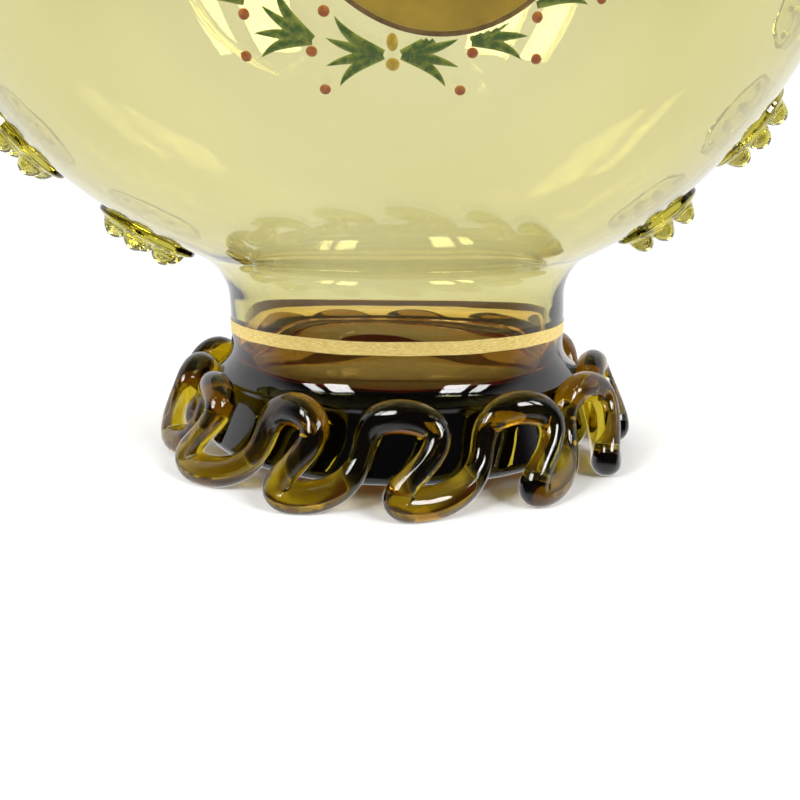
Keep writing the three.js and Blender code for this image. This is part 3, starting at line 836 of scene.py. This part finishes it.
def berries(index, side, x, y, heading, material):
    """Three berries in a fan past the leaves' tips, but none on the medallion."""
    reach = LEAF_LENGTH + BERRY_REACH
    number = 0
    for fan in (-BERRY_FAN, 0, BERRY_FAN):
        angle = math.radians(heading + side * fan)
        across, up = x + reach * math.cos(angle), y + reach * math.sin(angle)
        if clear_of_medallion(across, up, MEDALLION_LINE + BERRY_CLEARANCE):
            number += 1
            dot(f"painted_berry_{index}_{number}", f"berry_{index}_{number}", across, up, BERRY_RADIUS, 1.0,
                material)


def spray(index, side, turn, leaf_paint, berry_paint):
    """Leaves and berries that point away from the garland's middle along its bow."""
    angle = math.radians(turn)
    x = side * GARLAND_RADIUS * math.sin(angle)
    y = GARLAND_MIDDLE - GARLAND_RADIUS * math.cos(angle)
    heading = turn if side > 0 else 180 - turn
    leaves(index, side, x, y, heading, leaf_paint)
    berries(index, side, x, y, heading, berry_paint)


def oval(x, y, half_width, half_height, rings, columns):
    """Flat oval: across and up of its rings and then its middle, and its faces."""
    turn = turns(columns)
    share = np.linspace(0, 1, rings + 1)[1:][:, None]
    across = np.append((x + half_width * share * np.cos(turn)).ravel(), x)
    up = np.append((y + half_height * share * np.sin(turn)).ravel(), y)
    faces = flipped(grid_faces(rings, columns))
    faces += [(rings * columns, j, (j + 1) % columns) for j in range(columns)]
    return across, up, faces


def dot(name, node, x, y, radius, stretch, material):
    """A drop of enamel, crowned in the middle."""
    across, up, faces = oval(x, y, radius, radius * stretch, DOT_RINGS, DOT_COLUMNS)
    share = np.repeat(np.linspace(0, 1, DOT_RINGS + 1)[1:], DOT_COLUMNS)
    crown = np.append(np.sqrt(1 - DOT_FLATNESS * share**2), 1)
    points = on_front(across, up, PAINT_LIFT + DOT_CROWN * crown)
    made = piece(name, points, faces, material, node)
    set_values(made.data, "crown", "POINT", crown)


def medallion(field_paint, line_paint):
    """Plain amber oval with a thin raised outline."""
    middle = MEDALLION_RISE + MEDALLION_HALF_HEIGHT
    across, up, faces = oval(MEDALLION_ACROSS, middle, MEDALLION_HALF_WIDTH, MEDALLION_HALF_HEIGHT,
                             MEDALLION_RINGS, MEDALLION_COLUMNS)
    points = on_front(across, up, PAINT_LIFT)
    piece("amber_medallion", points, faces, field_paint, "medallion")
    turn = turns(MEDALLION_COLUMNS)
    section = [(0, LINE_FOOT), (LINE_BEVEL, COAT_CROWN), (MEDALLION_LINE - LINE_BEVEL, COAT_CROWN),
               (MEDALLION_LINE, LINE_FOOT)]
    rows = []
    for grow, lift in section:
        across = MEDALLION_ACROSS + (MEDALLION_HALF_WIDTH + grow) * np.cos(turn)
        up = middle + (MEDALLION_HALF_HEIGHT + grow) * np.sin(turn)
        rows.append(on_front(across, up, PAINT_LIFT + lift))
    faces = flipped(grid_faces(len(section), MEDALLION_COLUMNS))
    piece("medallion_outline", np.vstack(rows), faces, line_paint, "medallion_line")


# Nodes of materials and of the light

def new_material(name):
    made = bpy.data.materials.new(name)
    made.use_nodes = True
    return made, made.node_tree, made.node_tree.nodes["Principled BSDF"]


def noise_node(tree, scale, detail, roughness=0.5, stretch=None):
    """Noise in the object's own space, or in a space that is stretched."""
    place = tree.nodes.new("ShaderNodeTexCoord").outputs["Object"]
    if stretch:
        mapping = tree.nodes.new("ShaderNodeMapping")
        mapping.inputs["Scale"].default_value = stretch
        tree.links.new(place, mapping.inputs["Vector"])
        place = mapping.outputs[0]
    made = tree.nodes.new("ShaderNodeTexNoise")
    made.inputs["Scale"].default_value = scale
    made.inputs["Detail"].default_value = detail
    made.inputs["Roughness"].default_value = roughness
    tree.links.new(place, made.inputs["Vector"])
    return made.outputs["Fac"]


def colour_ramp(tree, source, places, colours):
    made = tree.nodes.new("ShaderNodeValToRGB")
    for element, place, colour in zip(made.color_ramp.elements, places, colours):
        element.position = place
        element.color = (*colour, 1)
    tree.links.new(source, made.inputs["Fac"])
    return made.outputs["Color"]


def add_bump(tree, shader, source, strength, distance):
    bump = tree.nodes.new("ShaderNodeBump")
    bump.inputs["Strength"].default_value = strength
    bump.inputs["Distance"].default_value = distance
    tree.links.new(source, bump.inputs["Height"])
    tree.links.new(bump.outputs["Normal"], shader.inputs["Normal"])


def attribute_node(tree, name):
    """The numbers that set_values gave to a mesh."""
    made = tree.nodes.new("ShaderNodeAttribute")
    made.attribute_name = name
    return made.outputs["Fac"]


def ramp_node(tree, source, low, high, first, second):
    made = tree.nodes.new("ShaderNodeMapRange")
    made.interpolation_type = "SMOOTHSTEP"
    made.inputs["From Min"].default_value = low
    made.inputs["From Max"].default_value = high
    made.inputs["To Min"].default_value = first
    made.inputs["To Max"].default_value = second
    tree.links.new(source, made.inputs["Value"])
    return made.outputs["Result"]


def feed(tree, socket, value):
    """Gives a socket a number, or links it to another socket."""
    if isinstance(value, (int, float)):
        socket.default_value = value
    else:
        tree.links.new(value, socket)


def mix_node(tree, share, first, second):
    made = tree.nodes.new("ShaderNodeMix")
    feed(tree, made.inputs["Factor"], share)
    feed(tree, made.inputs["A"], first)
    feed(tree, made.inputs["B"], second)
    return made.outputs["Result"]


def math_node(tree, operation, *values):
    made = tree.nodes.new("ShaderNodeMath")
    made.operation = operation
    for socket, value in zip(made.inputs, values):
        feed(tree, socket, value)
    return made.outputs[0]


# Materials

def clear_glass(name, tint, density, ripple, has_joint=False):
    """Coloured glass: the colour comes from what light loses inside it. A fused joint doesn't bend it."""
    made, tree, shader = new_material(name)
    shader.inputs["Transmission Weight"].default_value = 1
    shader.inputs["Roughness"].default_value = 0
    shader.inputs["Base Color"].default_value = (1, 1, 1, 1)
    shader.inputs["IOR"].default_value = IOR
    volume = tree.nodes.new("ShaderNodeVolumeAbsorption")
    volume.inputs["Color"].default_value = (*tint, 1)
    volume.inputs["Density"].default_value = density
    tree.links.new(volume.outputs[0], tree.nodes["Material Output"].inputs["Volume"])
    add_bump(tree, shader, noise_node(tree, scale=45, detail=2), ripple, distance=0.002)
    if has_joint:
        fused = attribute_node(tree, "fused")
        tree.links.new(math_node(tree, "MULTIPLY_ADD", fused, 1 - IOR, IOR), shader.inputs["IOR"])
    return made


def painted(name, dark, light, roughness, scale, thinning):
    """Brushed enamel: two tones in strokes, paler where the coat thins to its edge."""
    made, tree, shader = new_material(name)
    strokes = noise_node(tree, scale, detail=4, roughness=0.65)
    tone = strokes
    if thinning:
        thin = math_node(tree, "MULTIPLY_ADD", attribute_node(tree, "crown"), -thinning, strokes)
        tone = math_node(tree, "ADD", thin, thinning * MEAN_CROWN)
    tree.links.new(colour_ramp(tree, tone, PAINT_TONES_AT, (dark, light)), shader.inputs["Base Color"])
    shader.inputs["Roughness"].default_value = roughness
    add_bump(tree, shader, strokes, strength=0.3, distance=0.0002)
    return made


def fired_gold():
    """Fired gold: matt, finely scratched round the line, worn in places."""
    made, tree, shader = new_material("fired_gold")
    fine = noise_node(tree, scale=900, detail=5, roughness=0.7, stretch=GOLD_STRETCH)
    tree.links.new(colour_ramp(tree, fine, GOLD_TONES_AT, GOLD_TONES), shader.inputs["Base Color"])
    shader.inputs["Metallic"].default_value = GOLD_METALLIC
    rough = tree.nodes.new("ShaderNodeMapRange")
    rough.inputs["To Min"].default_value, rough.inputs["To Max"].default_value = GOLD_ROUGHNESS
    tree.links.new(fine, rough.inputs["Value"])
    tree.links.new(rough.outputs[0], shader.inputs["Roughness"])
    add_bump(tree, shader, fine, strength=0.35, distance=0.0001)
    return made


# Stage, lights and camera

def stage():
    """A pale round ground. It lights the jug from below and isn't mirrored on its sides. Under the foot its
    glow fades to nothing, a painted shadow.
    """
    made, tree, shader = new_material("white_table")
    shader.inputs["Roughness"].default_value = FLOOR_ROUGHNESS
    shader.inputs["Specular IOR Level"].default_value = 0
    shader.inputs["Emission Color"].default_value = (1, 1, 1, 1)
    length = tree.nodes.new("ShaderNodeVectorMath")
    length.operation = "LENGTH"
    tree.links.new(tree.nodes.new("ShaderNodeTexCoord").outputs["Object"], length.inputs[0])
    away = length.outputs["Value"]
    # Painted shadow: the glow fades to nothing under the foot, which keeps the floor there and the pad above
    # it dark
    glow_with_painted_shadow = ramp_node(tree, away, *PAINTED_SHADOW_UNDER_FOOT, 0, FLOOR_GLOW)
    far = ramp_node(tree, away, *SWEEP, 0, 1)
    tree.links.new(mix_node(tree, far, glow_with_painted_shadow, BACK_GLOW), shader.inputs["Emission Strength"])
    paint = tree.nodes.new("ShaderNodeCombineColor")
    tone = ramp_node(tree, away, *SWEEP, FLOOR_TONE, 0)
    for socket in paint.inputs:
        tree.links.new(tone, socket)
    tree.links.new(paint.outputs[0], shader.inputs["Base Color"])
    mesh = bpy.data.meshes.new("table_top")
    rim = [(TABLE_RADIUS * math.cos(turn), TABLE_RADIUS * math.sin(turn), 0) for turn in turns(TABLE_CORNERS)]
    mesh.from_pydata(rim, [], [tuple(range(TABLE_CORNERS))])
    mesh.materials.append(made)
    floor = bpy.data.objects.new("table_top", mesh)
    floor.location.z = -TABLE_DROP
    floor.visible_glossy = False
    bpy.context.scene.collection.objects.link(floor)


def surroundings():
    """A white sweep behind and at the sides, and a dim room in front with two soft panels on each side."""
    world = bpy.data.worlds.new("studio")
    bpy.context.scene.world = world
    world.use_nodes = True
    tree = world.node_tree
    parts = tree.nodes.new("ShaderNodeSeparateXYZ")
    tree.links.new(tree.nodes.new("ShaderNodeTexCoord").outputs["Generated"], parts.inputs[0])
    x, y, z = parts.outputs
    front = ramp_node(tree, z, *LOW_FRONT, LOW_FRONT_GLOW, ROOM_GLOW)
    behind = ramp_node(tree, z, *OVERHEAD, BACK_GLOW, OVERHEAD_GLOW)
    glow = mix_node(tree, ramp_node(tree, y, *FRONT_TO_BACK, 0, 1), front, behind)
    forward = math_node(tree, "MULTIPLY", y, -1.0)
    azimuth = math_node(tree, "ABSOLUTE", math_node(tree, "ARCTAN2", x, forward))
    height = math_node(tree, "ARCSINE", z)
    for middle, above, half_width, half_height, brightness in PANELS:
        across = math_node(tree, "COMPARE", azimuth, math.radians(middle), math.radians(half_width))
        up = math_node(tree, "COMPARE", height, math.radians(above), math.radians(half_height))
        glow = mix_node(tree, math_node(tree, "MULTIPLY", across, up), glow, brightness)
    light = tree.nodes.new("ShaderNodeLightPath")
    seen = mix_node(tree, light.outputs["Is Camera Ray"], glow, BACK_GLOW)
    tree.links.new(seen, tree.nodes["Background"].inputs["Strength"])
    tree.nodes["Background"].inputs["Color"].default_value = (1, 1, 1, 1)


def top_light():
    """A soft lamp for the enamel and the gold, which isn't mirrored in the glass."""
    light = bpy.data.lights.new("top_light", "AREA")
    light.shape = "RECTANGLE"
    light.size = LAMP_SIZE
    light.size_y = LAMP_SIZE
    light.energy = LAMP_POWER
    made = bpy.data.objects.new("top_light", light)
    elevation = math.radians(LAMP_ELEVATION)
    away = Vector((0, math.cos(elevation), math.sin(elevation)))
    made.location = Vector((0, 0, LAMP_AIM_Z)) + LAMP_DISTANCE * away
    made.rotation_mode = "QUATERNION"
    made.rotation_quaternion = away.to_track_quat("Z", "Y")
    made.visible_glossy = False
    made.visible_transmission = False
    bpy.context.scene.collection.objects.link(made)


def camera():
    """A plain camera without depth of field."""
    data = bpy.data.cameras.new("camera")
    data.sensor_width = SENSOR_WIDTH
    data.lens = FOCAL_LENGTH / PICTURE_WIDTH * SENSOR_WIDTH
    data.shift_x = CAMERA_SHIFT / PICTURE_WIDTH
    data.clip_start = 0.01
    data.clip_end = 50
    made = bpy.data.objects.new("camera", data)
    bpy.context.scene.collection.objects.link(made)
    made.location = Vector((AXIS[0], AXIS[1] - CAMERA_DISTANCE, CAMERA_HEIGHT)) * MM
    pitch = Matrix.Rotation(math.radians(90 - CAMERA_PITCH), 3, "X")
    roll = Matrix.Rotation(math.radians(CAMERA_ROLL), 3, "Z")
    made.rotation_euler = (pitch @ roll).to_euler()
    bpy.context.scene.camera = made


camera()

bowl(clear_glass("olive_bowl", BOWL_TINT, BOWL_DENSITY, RIPPLE["bowl"], has_joint=True))
foot_pad(clear_glass("olive_pad", PAD_TINT, PAD_DENSITY, RIPPLE["pad"], has_joint=True))
foot_rope(clear_glass("olive_rope", THREAD_TINT, ROPE_DENSITY, RIPPLE["rope"]))
prunt_glass = clear_glass("olive_prunt", PRUNT_TINT, PRUNT_DENSITY, RIPPLE["prunt"])
for prunt_side, (prunt_azimuth, lowest, apart) in PRUNT_PLACES.items():
    for number in range(PRUNTS_EACH):
        prunt(f"raspberry_{prunt_side}_{number + 1}", f"prunt_{prunt_side}_{number + 1}",
              np.array(math.radians(prunt_azimuth)), math.radians(lowest + apart * number), prunt_glass)
handle(clear_glass("olive_handle", THREAD_TINT, HANDLE_DENSITY, RIPPLE["handle"]))

gold = fired_gold()
gilt_line("gilt_line_foot", "foot_gilt_line", GILT_Z - GILT_WIDTH / 2, GILT_SEEDS["foot"], gold, GILT_SETTLE)
gilt_line("gilt_line_rim", "rim_gilt_line", RIM_Z - RIM_GILT_DROP - GILT_WIDTH, GILT_SEEDS["rim"], gold)

paint = {name: painted(name, *values) for name, values in PAINTS.items()}
sprays = [(garland_side, turn) for garland_side in (-1, 1) for turn in GARLAND_SPRAYS]
for number, (garland_side, turn) in enumerate(sprays, 1):
    spray(number, garland_side, turn, paint["leaf_green"], paint["berry_red"])
for number, (up, radius, stretch) in enumerate(DOTS, 1):
    dot(f"painted_dot_{number}", f"garland_dot_{number}", 0, up, radius, stretch, paint["drop_yellow"])
medallion(paint["amber_stain"], paint["outline_brown"])

stage()
surroundings()
top_light()

scene = bpy.context.scene
scene.view_settings.view_transform = "Standard"
scene.cycles.max_bounces = 28
scene.cycles.transmission_bounces = 24
scene.cycles.transparent_max_bounces = 16
